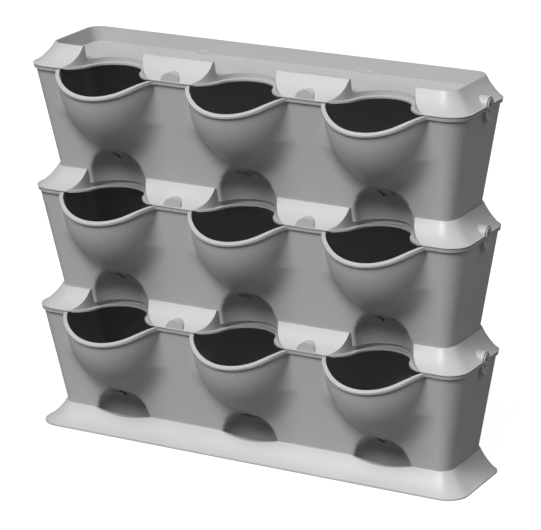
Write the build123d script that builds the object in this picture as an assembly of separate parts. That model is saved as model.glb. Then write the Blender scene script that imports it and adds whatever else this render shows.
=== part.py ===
from build123d import *
from math import cos, radians, sin, sqrt, tan
import os

# Stacking wall planter: three troughs with pot bowls, each under its own lid, on a drip tray.
# X runs along the planter, the front faces -Y and Z is up. Sizes are in millimetres.
# The origin is the middle of the tray's footprint, on the ground.

# Stack
rim_width = 650.0          # lids and tray, end to end
rim_depth = 139.0          # lids and tray, front edge to rear wall
tier_pitch = 172.0         # one trough with its lid
tier_names = ("bottom", "middle", "top")
pot_count = 3
pot_end_room = 25.0        # end of the rim to the outermost pot's share of the length
wall = 2.5                 # moulded wall of every shell

# Sloping border of the lids and of the tray
rim_edge = 2.0             # upright outer edge below the slope
rim_ledge = 1.5            # flat strip between that edge and the slope
ridge_height = 29.0
ridge_side = 25.0          # ridge set in from the rim at the two ends
ridge_front = 25.0         # and at the front
ridge_top = 2.5            # width of the ridge itself
slope_sag = 2.6            # how far the slope hollows at half its height
rim_corner = 30.0
rim_rear_corner = 20.0

# Seat of each trough in the lid or tray below it
pocket_floor = 9.0         # height of the seat above the rim
seat_corner = 16.0         # front corner of a trough where it enters the ridge
seat_gap = 0.4             # play all round a seated trough

# Trough walls
trough_top_inset = 3.0     # trough wall behind the edge of its lid
collar_reach = 2.5         # rim collar, outwards from the wall
collar_depth = 4.0
lead = 25.0                # spare height above the rim for trimming

# Pot bowls on the front of a trough
bowl_radius = 75.5
bowl_set_back = 25.0       # bowl axis behind the rim's front edge
bowl_depth = 116.0         # rim to the bottom of the bowl
bowl_fillet = 7.0
lip_bend = 60.0            # the lip bends down over this radius
lip_angle = 30.0           # and then runs on at this slope
collar_angle = 27.0        # slope of the collar's underside, which thins the lip towards the front

# Arches under the bowls, which clear the mouths of the tier below
arch_radius = 43.0
arch_set_back = 20.0       # arch and mouth axis behind the rim's front edge
arch_dome = 11.0           # dome centre above the trough's bottom
arch_fillet = 5.0

# Mouth notches in a lid
notch_radius = 47.0        # upright wall at the back of a mouth
notch_flare = 35.0         # wall sweeping out to the front edge
mouth_radius = 40.0        # lip inside that wall
mouth_flare = 40.0
lip_thickness = 2.5

# Shadow line between a lid and its trough
shadow_gap = 1.2
shadow_reach = 3.0

# Half-round tabs on a lid's front slope, between the pots
tab_radius = 14.2
tab_set_back = 1.5

# Half-round bumps against a lid's rear wall
bump_radius = 16.5
bump_axis = -3.0           # height of the bump's axis from the rim
bump_length = 8.0
bump_spacing = 250.0
bump_gap = 1.0

# Hose ports through both ends of a tier, split between lid and trough
port_set_forward = 58.0    # port axis in front of the rear wall
port_rise = 2.5            # and above the rim
port_boss_radius = 11.0
port_boss_drop = 19.0      # trough half of the boss, below the rim
port_boss_length = 16.0
bush_radius = 6.0
bush_gap = 0.3
bush_flange_radius = 8.5
bush_flange = 1.6
hose_bore = 4.8

# Wall screws through a trough's rear wall, opposite the outer pots
screw_bore = 6.0
screw_boss_radius = 8.0
screw_drop = 45.0          # below the rim

# Drain holes in a trough's bottom between the pots, over wider ones in the lid below
drain_bore = 8.0
drain_play = 2.0           # lid's hole wider than the trough's, all round
drain_set_back = 50.0      # behind the front edge

# Locating lugs under a lid, inside the trough's rim
lug_length = 30.0
lug_drop = 8.0
lug_gap = 0.6
rear_lug_spacing = 480.0

# Drip tray
tray_floor = 3.0
tray_dip = 5.9             # dip of the tray's front ridge at each pot
tray_dip_width = 92.0
tray_rib_count = 4         # ribs that carry the bottom trough above the tray's floor
tray_rib_spacing = 180.0
tray_rib_set_in = 4.0      # ends of a rib behind the seat's wall


def row(count, spacing):
    """Places along X of evenly spaced features, centred on the planter."""
    return [spacing * (i - (count - 1) / 2) for i in range(count)]


pot_pitch = (rim_width - 2 * pot_end_room) / pot_count
front_y = -rim_depth / 2
rear_y = rim_depth / 2
pot_xs = row(pot_count, pot_pitch)
tab_xs = row(pot_count - 1, pot_pitch)
bump_xs = row(2, bump_spacing)
screw_xs = (pot_xs[0], pot_xs[-1])
rear_lug_xs = row(2, rear_lug_spacing)
tray_rib_xs = row(tray_rib_count, tray_rib_spacing)
trough_height = tier_pitch - pocket_floor
arch_y = front_y + arch_set_back
bowl_y = front_y + bowl_set_back
port_y = rear_y - port_set_forward
trough_corner = rim_corner - trough_top_inset
trough_rear_corner = rim_rear_corner - trough_top_inset
ridge_corner = seat_corner + seat_gap + ridge_top
ridge_rear_corner = trough_rear_corner + seat_gap + wall
slope_wall = shadow_reach + wall - rim_ledge    # the slope's wall, measured level
far = rim_width            # longer than any cut needs

# The trough's taper takes its wall from its own rim to the ridge of the lid below.
taper_height = tier_pitch - ridge_height
taper_side = (ridge_side + ridge_top + seat_gap - trough_top_inset) / taper_height
taper_front = (ridge_front + ridge_top + seat_gap - trough_top_inset) / taper_height
taper_rear = (wall + seat_gap - trough_top_inset) / taper_height
taper_corner = (seat_corner - trough_corner) / taper_height


def outline(z, side, front, rear, front_corner, rear_corner):
    """Rounded rectangle at height z, set in from the rim by side, front and rear."""
    shape = Rectangle(rim_width - 2 * side, rim_depth - front - rear)
    shape = fillet(shape.vertices().group_by(Axis.Y)[0], front_corner)
    shape = fillet(shape.vertices().group_by(Axis.Y)[-1], rear_corner)
    return Pos(0, (front - rear) / 2, z) * shape


def prism(low, high, side, front, rear, front_corner, rear_corner):
    """Upright block between two heights, on a rounded outline."""
    return extrude(outline(low, side, front, rear, front_corner, rear_corner), high - low)


def trough_front(z):
    """Inset of a trough's front wall at a height from its own rim."""
    return trough_top_inset - taper_front * z


def trough_block(low, high, grow):
    """Trough without its bowls, between two heights from its own rim, moved out by grow."""
    sections = [
        outline(
            z, trough_top_inset - taper_side * z - grow, trough_front(z) - grow,
            trough_top_inset - taper_rear * z - grow,
            trough_corner - taper_corner * z + grow, trough_rear_corner + grow)
        for z in (low, high)]
    return loft(sections, ruled=True)


def half_round(radius, length):
    """Upper half of a round bar along -Y, from the origin."""
    bar = Rot(90, 0, 0) * Cylinder(radius, length, align=(Align.CENTER, Align.CENTER, Align.MIN))
    room = Box(4 * radius, 4 * length, 2 * radius, align=(Align.CENTER, Align.CENTER, Align.MIN))
    return bar & room


def bowl(x, grow):
    """Solid egg-shaped bowl of one pot, with a straight stretch above the rim."""
    radius = bowl_radius + grow
    depth = bowl_depth + grow
    side = EllipticalCenterArc((0, 0), radius, depth, start_angle=-90, arc_size=90)
    rest = Polyline((radius, 0), (radius, lead), (0, lead), (0, -depth))
    face = make_face(Curve() + [side, rest])
    return Pos(x, bowl_y, 0) * Rot(0, 0, 90) * revolve(Plane.XZ * face, Axis.Z)


def arch(x, grow):
    """Room under one bowl: an upright drum with a dome on it."""
    radius = arch_radius - grow
    centre = -trough_height + arch_dome
    side = CenterArc((0, centre), radius, 0, 90)
    rest = Polyline((0, centre + radius), (0, -tier_pitch), (radius, -tier_pitch), (radius, centre))
    face = make_face(Curve() + [side, rest])
    return Pos(x, arch_y, 0) * Rot(0, 0, -90) * revolve(Plane.XZ * face, Axis.Z)


def rising_curves(body, highest):
    """Curved edges on the front of a trough that stay below a height."""
    return [
        e for e in body.edges()
        if e.geom_type != GeomType.LINE and e.bounding_box().size.Z > wall
        and e.bounding_box().max.Z < highest and e.center().Y < 0]


def bump_room(grow):
    """Room at a trough's rear foot for the bumps of the lid below."""
    room = half_round(bump_radius + bump_gap - grow, wall + bump_length + bump_gap - grow)
    return [Pos(x, rear_y, bump_axis - tier_pitch) * room for x in bump_xs]


def tub(grow):
    """Trough as a solid lump with every surface moved out by grow, open space left above it."""
    body = trough_block(-trough_height - grow, lead, grow)
    body = body + [bowl(x, grow) for x in pot_xs]
    return fillet(rising_curves(body, far), bowl_fillet - grow)


def above_lip(drop, angle):
    """Everything above a trough's rim, which bends down in front to make the pots' lips."""
    bend = radians(angle)
    bend_y = front_y - lip_bend * sin(bend)
    bend_z = -lip_bend * (1 - cos(bend))
    run = rim_depth
    level = Line((far, 0), (front_y, 0))
    curve = TangentArc((front_y, 0), (bend_y, bend_z), tangent=(-1, 0))
    rest = Polyline(
        (bend_y, bend_z), (bend_y - run, bend_z - run * tan(bend)),
        (bend_y - run, far), (far, far), (far, 0))
    face = make_face(Curve() + [level, curve, rest])
    return Pos(0, 0, -drop) * extrude(Plane.YZ * face, far, both=True)


def at_ends(shape):
    """A shape moved to the hose port at the right end of the rim, and its mirror image at the left."""
    right = Pos(rim_width / 2, port_y, 0) * shape
    return [right, mirror(right, about=Plane.YZ)]


def port_cradles():
    """Eight-sided seats of the hose bushes in a trough's bosses."""
    section = RegularPolygon(bush_radius + bush_gap, 8, major_radius=False, rotation=22.5)
    seat = Rot(0, 90, 0) * extrude(section, 3 * port_boss_length / 2, both=True)
    return at_ends(Pos(0, 0, port_rise) * seat)


def port_bores():
    """Round seats of the hose bushes in a lid, with straight sides below them so that the lid lifts off."""
    radius = bush_radius + bush_gap
    seat = Pos(0, 0, port_rise) * Rot(0, 90, 0) * Cylinder(radius, 3 * port_boss_length)
    sides = Box(3 * port_boss_length, 2 * radius, port_rise, align=(Align.CENTER, Align.CENTER, Align.MIN))
    return at_ends(seat + sides)


def drains(radius, z):
    """Drain holes through a floor at a height."""
    hole = Pos(0, front_y + drain_set_back, z) * Cylinder(radius, 4 * wall)
    return [Pos(x, 0, 0) * hole for x in tab_xs]


def trough():
    """One trough, with its rim at Z = 0."""
    outer = tub(0) - [arch(x, 0) for x in pot_xs]
    outer = fillet(rising_curves(outer, -bowl_depth / 2), arch_fillet)
    outer = outer - bump_room(0)
    collar = tub(collar_reach) & above_lip(collar_depth, collar_angle)
    inner = tub(-wall) - [arch(x, -wall) for x in pot_xs] - bump_room(-wall)
    body = (outer + collar) - inner - above_lip(0, lip_angle)

    boss_foot = Rot(0, 90, 0) * Cylinder(
        port_boss_radius, port_boss_length, align=(Align.CENTER, Align.CENTER, Align.MAX))
    boss_block = Box(
        port_boss_length, 2 * port_boss_radius, port_boss_drop - port_boss_radius,
        align=(Align.MAX, Align.CENTER, Align.MAX))
    boss = boss_block + Pos(0, 0, port_boss_radius - port_boss_drop) * boss_foot
    boss = boss - Box(far, far, far, align=(Align.CENTER, Align.CENTER, Align.MIN))
    body = body + at_ends(boss) - port_cradles()

    seat = Cylinder(screw_boss_radius, trough_top_inset + wall, align=(Align.CENTER, Align.CENTER, Align.MIN))
    hole = Cylinder(screw_bore / 2, 8 * wall)
    places = [Pos(x, rear_y, -screw_drop) * Rot(90, 0, 0) for x in screw_xs]
    body = body + [place * seat for place in places] - [place * hole for place in places]
    return body - drains(drain_bore / 2, -trough_height)


def slope_inset(share, ridge):
    """Inset of the border's slope at a share of its height, hollowed a little."""
    straight = rim_ledge + (ridge - rim_ledge) * share
    return straight + 4 * slope_sag * share * (1 - share)


def border_section(share, inset, rear):
    """Outline of the sloping border at a share of its height."""
    z = rim_edge + (ridge_height - rim_edge) * share
    corner = rim_corner + (ridge_corner - rim_corner) * share
    rear_corner = rim_rear_corner + (ridge_rear_corner - rim_rear_corner) * share
    return outline(
        z, slope_inset(share, ridge_side) + inset, slope_inset(share, ridge_front) + inset, rear,
        corner - inset / 2, rear_corner - inset / 2)


def slope(inset, rear):
    """Sloping border as a solid lump, from the top of its edge to the ridge."""
    return loft([border_section(share, inset, rear) for share in (0, 0.5, 1)])


def edge(low, inset, rear):
    """Upright edge below the slope, from a height up to the slope."""
    return prism(low, rim_edge, inset, inset, rear, rim_corner - inset / 2, rim_rear_corner - rear / 2)


def pocket(floor, grow):
    """Seat of the trough above, from its floor up, moved out by grow."""
    top = ridge_height + lead
    return Pos(0, 0, tier_pitch) * trough_block(floor - tier_pitch, top - tier_pitch, seat_gap + grow)


def mouths(radius, flare, line, low, high):
    """Upright cuts round the back of the pots' mouths, flaring out to a line behind the front edge."""
    flare_y = front_y + line + flare
    flare_x = sqrt((radius + flare) ** 2 - (arch_y - flare_y) ** 2)
    touch_x = flare_x * radius / (radius + flare)
    touch_y = arch_y + (flare_y - arch_y) * radius / (radius + flare)
    ahead = front_y - wall
    back = ThreePointArc((touch_x, touch_y), (0, arch_y + radius), (-touch_x, touch_y))
    right = TangentArc((flare_x, front_y + line), (touch_x, touch_y), tangent=(-1, 0))
    left = TangentArc((-flare_x, front_y + line), (-touch_x, touch_y), tangent=(1, 0))
    rest = Polyline(
        (flare_x, front_y + line), (flare_x, ahead), (-flare_x, ahead), (-flare_x, front_y + line))
    cut = Pos(0, 0, low) * extrude(make_face(Curve() + [right, back, left, rest]), high - low)
    return [Pos(x, 0, 0) * cut for x in pot_xs]


def tabs(grow):
    """Half-round tabs on the front slope."""
    tab = half_round(tab_radius + grow, ridge_front)
    return [Pos(x, front_y + tab_set_back - grow + ridge_front, 0) * tab for x in tab_xs]


def bumps(grow):
    """Half-round bumps against the rear wall."""
    bump = half_round(bump_radius + grow, wall + bump_length + grow)
    return [Pos(x, rear_y, bump_axis) * bump for x in bump_xs]


def lugs(low, high):
    """Ribs between two heights that stand just inside a trough's front and rear walls."""
    lean = max(taper_front, taper_rear) * lug_drop
    inset = trough_top_inset + wall + lug_gap + lean + wall / 2
    rib = Pos(0, 0, low) * Box(
        lug_length, wall, high - low, align=(Align.CENTER, Align.CENTER, Align.MIN))
    front = [Pos(x, front_y + inset, 0) * rib for x in tab_xs]
    rear = [Pos(x, rear_y - inset, 0) * rib for x in rear_lug_xs]
    return front + rear


def lid():
    """One lid, with its underside on the Z = 0 plane of its trough's rim."""
    high = ridge_height + lead
    foot = prism(
        0, shadow_gap, shadow_reach, shadow_reach, wall / 2,
        rim_corner - shadow_reach, rim_rear_corner - wall / 2)
    boss_top = Pos(0, 0, port_rise) * Rot(0, 0, -90) * half_round(port_boss_radius, port_boss_length)
    boss_foot = Box(
        port_boss_length, 2 * port_boss_radius, port_rise, align=(Align.MAX, Align.CENTER, Align.MIN))
    bosses = at_ends(boss_top + boss_foot)
    outer = foot + edge(shadow_gap, 0, 0) + slope(0, 0) + tabs(0) + bosses
    outer = outer - pocket(pocket_floor, 0) + bumps(0)
    outer = outer - Box(far, far, far, align=(Align.CENTER, Align.CENTER, Align.MAX))

    hollow = edge(-wall, slope_wall + rim_ledge, wall) + slope(slope_wall, wall) + tabs(-wall)
    hollow = hollow - pocket(pocket_floor - wall, wall) + bumps(-wall)
    hollow = hollow - mouths(notch_radius + wall, notch_flare - wall, wall, -2 * wall, high)
    hollow = hollow - bosses - lugs(-2 * wall, high)
    body = outer - hollow
    body = body - mouths(notch_radius, notch_flare, 0, lip_thickness, high)
    body = body - mouths(mouth_radius, mouth_flare, 0, -wall, lip_thickness)
    body = body + lugs(-lug_drop, 0) - port_bores()
    return body - drains(drain_bore / 2 + drain_play, pocket_floor)


def tray_dips(grow):
    """Long round cuts that dip the tray's front ridge at each pot."""
    radius = tray_dip_width ** 2 / (8 * tray_dip) + tray_dip / 2
    axis_z = ridge_height - tray_dip + radius
    cut = Rot(90, 0, 0) * Cylinder(radius + grow, rim_depth / 2, align=(Align.CENTER, Align.CENTER, Align.MIN))
    return [Pos(x, 0, axis_z) * cut for x in pot_xs]


def tray():
    """Drip tray, standing on Z = 0."""
    outer = edge(0, 0, 0) + slope(0, 0) - pocket(tray_floor, 0) - tray_dips(0)
    hollow = edge(-wall, slope_wall + rim_ledge, wall) + slope(slope_wall, wall)
    hollow = hollow - pocket(-2 * wall, wall) - tray_dips(wall)
    front_inset = trough_front(tray_floor - tier_pitch) + tray_rib_set_in
    rib = Pos(0, (front_inset - wall - tray_rib_set_in) / 2, 0) * Box(
        wall, rim_depth - front_inset - wall - tray_rib_set_in, pocket_floor,
        align=(Align.CENTER, Align.CENTER, Align.MIN))
    ribs = [Pos(x, 0, 0) * rib for x in tray_rib_xs]
    return outer - hollow + ribs


def bush():
    """Flanged bush that takes a hose through the right-hand port."""
    body = Cylinder(bush_radius, port_boss_length, align=(Align.CENTER, Align.CENTER, Align.MAX))
    flange = Cylinder(bush_flange_radius, bush_flange, align=(Align.CENTER, Align.CENTER, Align.MIN))
    bore = Cylinder(hose_bore / 2, 4 * port_boss_length)
    return Pos(0, 0, port_rise) * Rot(0, 90, 0) * (body + flange - bore)


os.makedirs("parts", exist_ok=True)
export_step(tray(), "parts/base_tray.step")
trough_shape = trough()
lid_shape = lid()
bush_right, bush_left = at_ends(bush())
for tier, name in enumerate(tier_names):
    rim = Pos(0, 0, tier_pitch * (tier + 1))
    export_step(rim * trough_shape, f"parts/trough_{name}.step")
    export_step(rim * lid_shape, f"parts/lid_{name}.step")
    export_step(rim * bush_left, f"parts/hose_bush_left_{name}.step")
    export_step(rim * bush_right, f"parts/hose_bush_right_{name}.step")
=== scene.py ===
import math

import bmesh
import bpy
from mathutils import Matrix, Vector


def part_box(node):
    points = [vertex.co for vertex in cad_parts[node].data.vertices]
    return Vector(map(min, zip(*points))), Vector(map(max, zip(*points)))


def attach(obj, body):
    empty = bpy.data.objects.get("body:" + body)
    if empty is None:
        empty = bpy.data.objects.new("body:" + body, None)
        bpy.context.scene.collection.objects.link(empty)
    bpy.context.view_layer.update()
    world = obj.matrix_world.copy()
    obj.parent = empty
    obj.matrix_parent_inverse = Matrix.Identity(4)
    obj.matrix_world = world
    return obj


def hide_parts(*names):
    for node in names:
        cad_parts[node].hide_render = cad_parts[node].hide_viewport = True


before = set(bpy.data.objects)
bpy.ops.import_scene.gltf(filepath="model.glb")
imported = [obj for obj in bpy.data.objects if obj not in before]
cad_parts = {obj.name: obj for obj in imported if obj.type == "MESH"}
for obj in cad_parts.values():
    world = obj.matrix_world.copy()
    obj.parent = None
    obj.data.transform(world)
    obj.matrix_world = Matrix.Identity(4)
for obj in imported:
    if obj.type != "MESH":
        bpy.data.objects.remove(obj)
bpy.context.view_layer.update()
scene = bpy.context.scene

# Drip tray
# The tray is one injection moulding of grey polypropylene, with a hollow sloping border round a flat floor.
# It stands loose on the ground, and the bottom trough drops into it.
planter_grey = (0.36, 0.36, 0.36, 1.0)


def moulded_grain():
    """Shader group of a moulded skin: cloudy flow marks, a fine spark grain and uneven gloss."""
    group = bpy.data.node_groups.new("moulded_grain", "ShaderNodeTree")
    sockets = group.interface
    sockets.new_socket("Color", in_out="INPUT", socket_type="NodeSocketColor")
    for name, value in (("Cloud", 0.06), ("Grain Scale", 1400.0), ("Gloss", 0.42), ("Gloss Spread", 0.1)):
        socket = sockets.new_socket(name, in_out="INPUT", socket_type="NodeSocketFloat")
        socket.default_value = value
    sockets.new_socket("Color", in_out="OUTPUT", socket_type="NodeSocketColor")
    sockets.new_socket("Roughness", in_out="OUTPUT", socket_type="NodeSocketFloat")
    sockets.new_socket("Height", in_out="OUTPUT", socket_type="NodeSocketFloat")
    nodes = group.nodes
    links = group.links
    given = nodes.new("NodeGroupInput")
    result = nodes.new("NodeGroupOutput")
    place = nodes.new("ShaderNodeTexCoord")

    cloud = nodes.new("ShaderNodeTexNoise")
    cloud.inputs["Scale"].default_value = 9.0
    cloud.inputs["Detail"].default_value = 3.0
    links.new(place.outputs["Object"], cloud.inputs["Vector"])
    cloud_range = nodes.new("ShaderNodeMapRange")
    cloud_range.inputs["From Min"].default_value = 0.3
    cloud_range.inputs["From Max"].default_value = 0.7
    cloud_range.inputs["To Max"].default_value = 1.0
    links.new(cloud.outputs["Fac"], cloud_range.inputs["Value"])
    drop = nodes.new("ShaderNodeMath")
    drop.operation = "SUBTRACT"
    drop.inputs[0].default_value = 1.0
    links.new(given.outputs["Cloud"], drop.inputs[1])
    links.new(drop.outputs[0], cloud_range.inputs["To Min"])
    tint = nodes.new("ShaderNodeVectorMath")
    tint.operation = "SCALE"
    links.new(given.outputs["Color"], tint.inputs[0])
    links.new(cloud_range.outputs["Result"], tint.inputs["Scale"])
    links.new(tint.outputs[0], result.inputs["Color"])

    grain = nodes.new("ShaderNodeTexNoise")
    grain.inputs["Detail"].default_value = 2.0
    links.new(place.outputs["Object"], grain.inputs["Vector"])
    links.new(given.outputs["Grain Scale"], grain.inputs["Scale"])
    links.new(grain.outputs["Fac"], result.inputs["Height"])

    patch = nodes.new("ShaderNodeTexNoise")
    patch.inputs["Scale"].default_value = 24.0
    patch.inputs["Detail"].default_value = 4.0
    links.new(place.outputs["Object"], patch.inputs["Vector"])
    centred = nodes.new("ShaderNodeMath")
    centred.operation = "SUBTRACT"
    centred.inputs[1].default_value = 0.5
    links.new(patch.outputs["Fac"], centred.inputs[0])
    spread = nodes.new("ShaderNodeMath")
    spread.operation = "MULTIPLY_ADD"
    links.new(centred.outputs[0], spread.inputs[0])
    links.new(given.outputs["Gloss Spread"], spread.inputs[1])
    links.new(given.outputs["Gloss"], spread.inputs[2])
    links.new(spread.outputs[0], result.inputs["Roughness"])
    return group


grain_group = moulded_grain()


def moulded_plastic(name, color, cloud, grain_scale, grain_depth, gloss, gloss_spread):
    """Satin moulded plastic with its own values of the shared grain."""
    material = bpy.data.materials.new(name)
    material.use_nodes = True
    tree = material.node_tree
    shader = tree.nodes["Principled BSDF"]
    shader.inputs["IOR"].default_value = 1.49
    skin = tree.nodes.new("ShaderNodeGroup")
    skin.node_tree = grain_group
    skin.inputs["Color"].default_value = color
    skin.inputs["Cloud"].default_value = cloud
    skin.inputs["Grain Scale"].default_value = grain_scale
    skin.inputs["Gloss"].default_value = gloss
    skin.inputs["Gloss Spread"].default_value = gloss_spread
    relief = tree.nodes.new("ShaderNodeBump")
    relief.inputs["Strength"].default_value = 0.35
    relief.inputs["Distance"].default_value = grain_depth
    tree.links.new(skin.outputs["Height"], relief.inputs["Height"])
    tree.links.new(skin.outputs["Color"], shader.inputs["Base Color"])
    tree.links.new(skin.outputs["Roughness"], shader.inputs["Roughness"])
    tree.links.new(relief.outputs["Normal"], shader.inputs["Normal"])
    return material


planter_plastic = moulded_plastic(
    "planter_plastic", planter_grey, cloud=0.06, grain_scale=1400.0, grain_depth=0.00006, gloss=0.42,
    gloss_spread=0.12)
crease = math.radians(32.0)  # edges that bend more than this stay crisp


def welded(node):
    """Copy of a moulding's form with its loose facets welded together."""
    form = bmesh.new()
    form.from_mesh(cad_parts[node].data)
    bmesh.ops.remove_doubles(form, verts=form.verts, dist=0.00001)
    return form


def moulding(node, form, material):
    """Finished moulding in place of its node, with soft shading over its curves and crisp edges."""
    for face in form.faces:
        face.smooth = True
    crown = form.verts.layers.int.get("crown")
    for edge in form.edges:
        edge.smooth = edge.is_manifold and edge.calc_face_angle(0.0) < crease
        if crown and all(vert[crown] for vert in edge.verts):
            edge.smooth = True
    mesh = bpy.data.meshes.new(node + "_moulding")
    form.to_mesh(mesh)
    form.free()
    mesh.materials.append(material)
    piece = bpy.data.objects.new(node + "_moulding", mesh)
    scene.collection.objects.link(piece)
    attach(piece, node)
    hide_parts(node)


moulding("base_tray", welded("base_tray"), planter_plastic)

# Troughs
# Each trough is one tapered moulding with three pot bowls swelling out of its front and arches under them.
# Its foot drops loose into the ridge of the tray or lid below.
tier_names = ("bottom", "middle", "top")
front_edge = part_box("base_tray")[0].y
pot_places = (-0.2, 0.0, 0.2)
wall_set_back = 0.003       # trough wall behind the rim's front edge, at the rim
wall_lean = 0.1741          # and how much further back for each metre down
bowl_axis = front_edge + 0.025
bowl_width = 0.0755
bowl_depth = 0.116
melted_depth = 0.102        # where the bowl's own curve ends and its melted foot begins
skin_thickness = 0.0025
wall_end = 0.287            # the part of the front that may swell, on each side of the middle
bowl_foot = 0.13            # and below the rim
lip_bend = 0.06             # underside of the lip: bends down over this radius
lip_slope = math.radians(27.0)
lip_drop = 0.006            # and lies this far below the rim, with some room
arch_axis = front_edge + 0.02
arch_crown = 0.152          # centre of an arch's dome below the rim
arch_radius = 0.043
arch_round = 0.005          # rounding of its edge
net = 0.005                 # spacing of the cuts that let the front bend
melt_start = 0.012          # below the rim, the bowls begin to melt into the wall
melt_full = 0.06            # and from here on they do so fully
melt_width = 0.026
melt_least = 0.02           # share of the melting that is left above its start
front_reach = 0.03          # faces this near the melted front, facing forward, belong to it
front_facing = -0.02
longest_move = 0.04
move_rounds = 6
probe = 0.00005             # step for measuring which way the front rises
dome_tolerance = 0.001
inner_share = 0.9           # of the skin's thickness, from which a point counts as inside
crown_reach = 0.07          # inner skin nearer than this to a dome's centre keeps further back
crown_fade = 0.02
crown_room = 2.0            # by up to so many thicknesses
fold_merge = 0.0025
fold_flat = 0.0002
turned_limit = 0.2          # folded faces that look less than this toward the dome's centre are dropped


def wall_gap(point, rim):
    """Distance of a point in front of the leaning wall."""
    ahead = front_edge + wall_set_back + wall_lean * (rim - point.z) - point.y
    return ahead / math.hypot(1.0, wall_lean)


def bowl_gap(point, rim, depth):
    """Distance of a point outside the nearest pot's egg."""
    pot = min(pot_places, key=lambda place: abs(place - point.x))
    across = math.hypot(point.x - pot, point.y - bowl_axis) / bowl_width
    down = max(rim - point.z, 0.0) / depth
    share = math.hypot(across, down)
    steep = math.hypot(across / bowl_width, down / depth) / share
    return (share - 1.0) / steep


def front_gap(point, rim):
    """Distance of a point in front of wall and bowls, melted together and rounded at the arches' edges."""
    down = rim - point.z
    wall, bowl = wall_gap(point, rim), bowl_gap(point, rim, melted_depth)
    melt = melt_width * min(max((down - melt_start) / (melt_full - melt_start), melt_least), 1.0)
    near = max(melt - abs(wall - bowl), 0.0) / melt
    pot = min(pot_places, key=lambda place: abs(place - point.x))
    inside_round = arch_radius + arch_round - (point - Vector((pot, arch_axis, rim - arch_crown))).length
    inside_round = min(max(inside_round, 0.0), arch_round)
    rounding = arch_round - math.sqrt(arch_round ** 2 - inside_round ** 2)
    return min(wall, bowl) - near * near * melt / 4.0 + rounding


def below_lip(point, rim):
    """Is a point below the lip that runs along the rim and down round the bowls?"""
    ahead = max(front_edge - point.y, 0.0)
    bent = min(ahead, lip_bend * math.sin(lip_slope))
    fall = lip_bend - math.sqrt(lip_bend ** 2 - bent ** 2) + (ahead - bent) * math.tan(lip_slope)
    return point.z < rim - lip_drop - fall


def nearest(domes, point):
    """Centre of the dome nearest to a point."""
    return min(domes, key=lambda centre: (centre - point).length)


def cut_front(form, skin, place, across):
    """Cuts the faces of the front along a plane."""
    faces = [face for face in form.faces if face[skin]]
    edges = list({edge for face in faces for edge in face.edges})
    verts = list({vert for face in faces for vert in face.verts})
    bmesh.ops.bisect_plane(form, geom=verts + edges + faces, dist=0.000001, plane_co=place, plane_no=across)


def settle(vert, skin, domes, rim):
    """Moves a point of the front onto the melted form, and tells if it is a dome's point that moved."""
    place = vert.co
    if abs(place.x) > wall_end or place.z < rim - bowl_foot or not below_lip(place, rim):
        return False
    dome = nearest(domes, place)
    from_dome = (place - dome).length
    on_dome = abs(from_dome - arch_radius) < dome_tolerance
    sharp_gap = min(wall_gap(place, rim), bowl_gap(place, rim, bowl_depth))
    inner = not on_dome and sharp_gap < -inner_share * skin_thickness
    near_crown = min(max((crown_reach - from_dome) / crown_fade, 0.0), 1.0)
    behind = skin_thickness * (1.0 + crown_room * near_crown) if inner else 0.0
    outer_skin = all(face[skin] for face in vert.link_faces)
    gap = front_gap(place, rim)
    if gap < -behind and not outer_skin or gap > longest_move:
        return False
    steps = [Vector((probe, 0.0, 0.0)), Vector((0.0, probe, 0.0)), Vector((0.0, 0.0, probe))]
    for _ in range(move_rounds):
        gap = front_gap(place, rim)
        rise = Vector([(front_gap(place + step, rim) - gap) / probe for step in steps])
        place -= rise * ((gap + behind) / rise.length_squared)
        spoke = place - dome
        if spoke.length < arch_radius + behind:
            place += spoke.normalized() * (arch_radius + behind - spoke.length)
    return on_dome


def close_folds(form, folded, domes):
    """Draws together the domes' moved points at the crowns, marks them and drops faces that turned over."""
    bmesh.ops.remove_doubles(form, verts=folded, dist=fold_merge)
    left = {vert for vert in folded if vert.is_valid}
    folded_edges = [edge for edge in form.edges if any(vert in left for vert in edge.verts)]
    bmesh.ops.dissolve_degenerate(form, dist=fold_flat, edges=folded_edges)
    form.normal_update()
    crown = form.verts.layers.int.new("crown")
    for vert in folded:
        if vert.is_valid:
            vert[crown] = 1
    turned = []
    for face in form.faces:
        if all(vert[crown] for vert in face.verts):
            centre = face.calc_center_median()
            inward = (nearest(domes, centre) - centre).normalized()
            if face.normal.dot(inward) < turned_limit:
                turned.append(face)
    bmesh.ops.delete(form, geom=turned, context="FACES")


def swell(form, rim):
    """Melts the bowls into the wall behind them, hardly at the rim and more and more further down."""
    skin = form.faces.layers.int.new("front_skin")
    for face in form.faces:
        near_front = abs(front_gap(face.calc_center_median(), rim)) < front_reach
        face[skin] = int(face.normal.y < front_facing and near_front)
    for i in range(int(bowl_foot / net) + 1):
        cut_front(form, skin, (0.0, 0.0, rim - i * net), (0.0, 0.0, 1.0))
    for i in range(int(2 * wall_end / net) + 1):
        cut_front(form, skin, (-wall_end + i * net, 0.0, 0.0), (1.0, 0.0, 0.0))
    bmesh.ops.triangulate(form, faces=[face for face in form.faces if len(face.verts) > 4])
    for face in form.faces:
        centre = face.calc_center_median()
        on_front = abs(centre.x) < wall_end and centre.z > rim - bowl_foot and below_lip(centre, rim)
        face[skin] = int(face[skin] and on_front)
    domes = [Vector((pot, arch_axis, rim - arch_crown)) for pot in pot_places]
    folded = [vert for vert in form.verts if settle(vert, skin, domes, rim)]
    close_folds(form, folded, domes)


first_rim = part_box("trough_bottom")[1].z
trough = welded("trough_bottom")
swell(trough, first_rim)
for tier in tier_names:
    copy = trough.copy()
    bmesh.ops.translate(copy, verts=copy.verts, vec=(0.0, 0.0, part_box("trough_" + tier)[1].z - first_rim))
    moulding("trough_" + tier, copy, planter_plastic)
trough.free()

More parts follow.
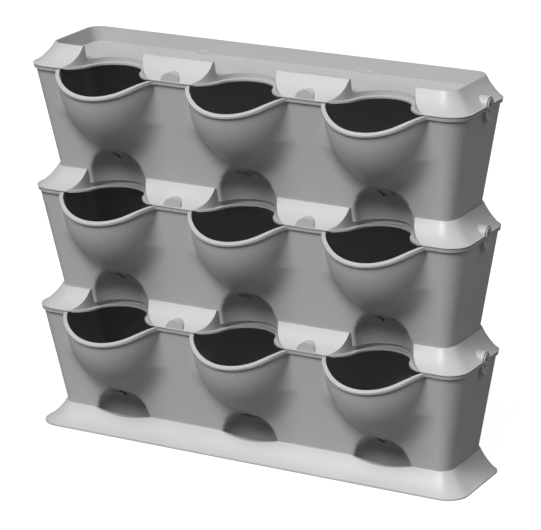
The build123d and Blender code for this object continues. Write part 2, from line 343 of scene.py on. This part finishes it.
# Lids
# Each lid is a hollow moulding with a sloping border, a seat for the next trough and three open mouths.
# It lies loose on the rim of its trough, held by lugs.
for tier in tier_names:
    moulding("lid_" + tier, welded("lid_" + tier), planter_plastic)

# Hose bushes
# Small flanged bushes of a harder, glossier plastic close the hose ports at both ends of every rim.
# They slide into the split bore between trough and lid.
bush_grey = (0.3, 0.3, 0.3, 1.0)
bush_plastic = moulded_plastic(
    "bush_plastic", bush_grey, cloud=0.04, grain_scale=2200.0, grain_depth=0.00003, gloss=0.3,
    gloss_spread=0.08)
for tier in tier_names:
    for side in ("left", "right"):
        bush = "hose_bush_" + side + "_" + tier
        moulding(bush, welded(bush), bush_plastic)

# Floor
# A pale studio floor that glows almost white to the camera, so that hardly any shadow shows on it.
# To the light it is dark, so that it throws little back on the planter.
floor_form = bmesh.new()
bmesh.ops.create_grid(floor_form, x_segments=1, y_segments=1, size=30.0)
floor_mesh = bpy.data.meshes.new("floor")
floor_form.to_mesh(floor_mesh)
floor_form.free()
floor = bpy.data.objects.new("floor", floor_mesh)
scene.collection.objects.link(floor)
floor_paint = bpy.data.materials.new("floor_paint")
floor_paint.use_nodes = True
floor_tree = floor_paint.node_tree
floor_shader = floor_tree.nodes["Principled BSDF"]
floor_shader.inputs["Base Color"].default_value = (0.1, 0.1, 0.1, 1.0)
floor_shader.inputs["Roughness"].default_value = 0.9
floor_shader.inputs["Emission Color"].default_value = (1.0, 1.0, 1.0, 1.0)
floor_seen = floor_tree.nodes.new("ShaderNodeLightPath")
floor_glow = floor_tree.nodes.new("ShaderNodeMath")
floor_glow.operation = "MULTIPLY"
floor_glow.inputs[1].default_value = 0.95
floor_tree.links.new(floor_seen.outputs["Is Camera Ray"], floor_glow.inputs[0])
floor_tree.links.new(floor_glow.outputs[0], floor_shader.inputs["Emission Strength"])
floor_mesh.materials.append(floor_paint)

# Light
# One broad soft light from high in front of the planter, a weak one from above, and an even white room.
# The room shows as plain white behind the planter.


def soft_light(name, toward, strength, spread):
    """Broad even lamp, shining from the given direction."""
    lamp = bpy.data.lights.new(name, "SUN")
    lamp.energy = strength
    lamp.angle = math.radians(spread)
    holder = bpy.data.objects.new(name, lamp)
    scene.collection.objects.link(holder)
    holder.rotation_euler = Vector(toward).to_track_quat("Z", "Y").to_euler()


soft_light("key_light", toward=(-0.1, -0.63, 0.76), strength=4.45, spread=30.0)
soft_light("top_light", toward=(0.6, 0.2, 0.77), strength=0.75, spread=60.0)

room = bpy.data.worlds.new("room")
room.use_nodes = True
room_tree = room.node_tree
room_light = room_tree.nodes["Background"]
room_light.inputs["Color"].default_value = (1.0, 1.0, 1.0, 1.0)
room_rays = room_tree.nodes.new("ShaderNodeLightPath")
seen_directly = room_tree.nodes.new("ShaderNodeMath")
seen_directly.operation = "MAXIMUM"
room_tree.links.new(room_rays.outputs["Is Camera Ray"], seen_directly.inputs[0])
room_tree.links.new(room_rays.outputs["Is Transmission Ray"], seen_directly.inputs[1])
room_level = room_tree.nodes.new("ShaderNodeMapRange")
room_level.inputs["To Min"].default_value = 0.22
room_level.inputs["To Max"].default_value = 1.0
room_tree.links.new(seen_directly.outputs[0], room_level.inputs["Value"])
room_tree.links.new(room_level.outputs["Result"], room_light.inputs["Strength"])
scene.world = room
scene.view_settings.view_transform = "Standard"

# Camera
# The view of the photograph: from the right and a little above, with a long lens about four metres away.
azimuth, elevation, roll = math.radians(28.462), math.radians(17.985), math.radians(-0.5)
aim = Vector((0.714373, -1.296038, 0.740230))
stand_off = 2.354904
focal_pixels = 2905.909
frame_pixels = 541.0
away = Vector((
    math.sin(azimuth) * math.cos(elevation), -math.cos(azimuth) * math.cos(elevation), math.sin(elevation)))
lens = bpy.data.cameras.new("camera")
lens.sensor_fit = "HORIZONTAL"
lens.sensor_width = 36.0
lens.lens = lens.sensor_width * focal_pixels / frame_pixels
lens.clip_end = 100.0
camera = bpy.data.objects.new("camera", lens)
scene.collection.objects.link(camera)
turn = away.to_track_quat("Z", "Y").to_matrix().to_4x4() @ Matrix.Rotation(roll, 4, "Z")
camera.matrix_world = Matrix.Translation(aim + away * stand_off) @ turn
scene.camera = camera
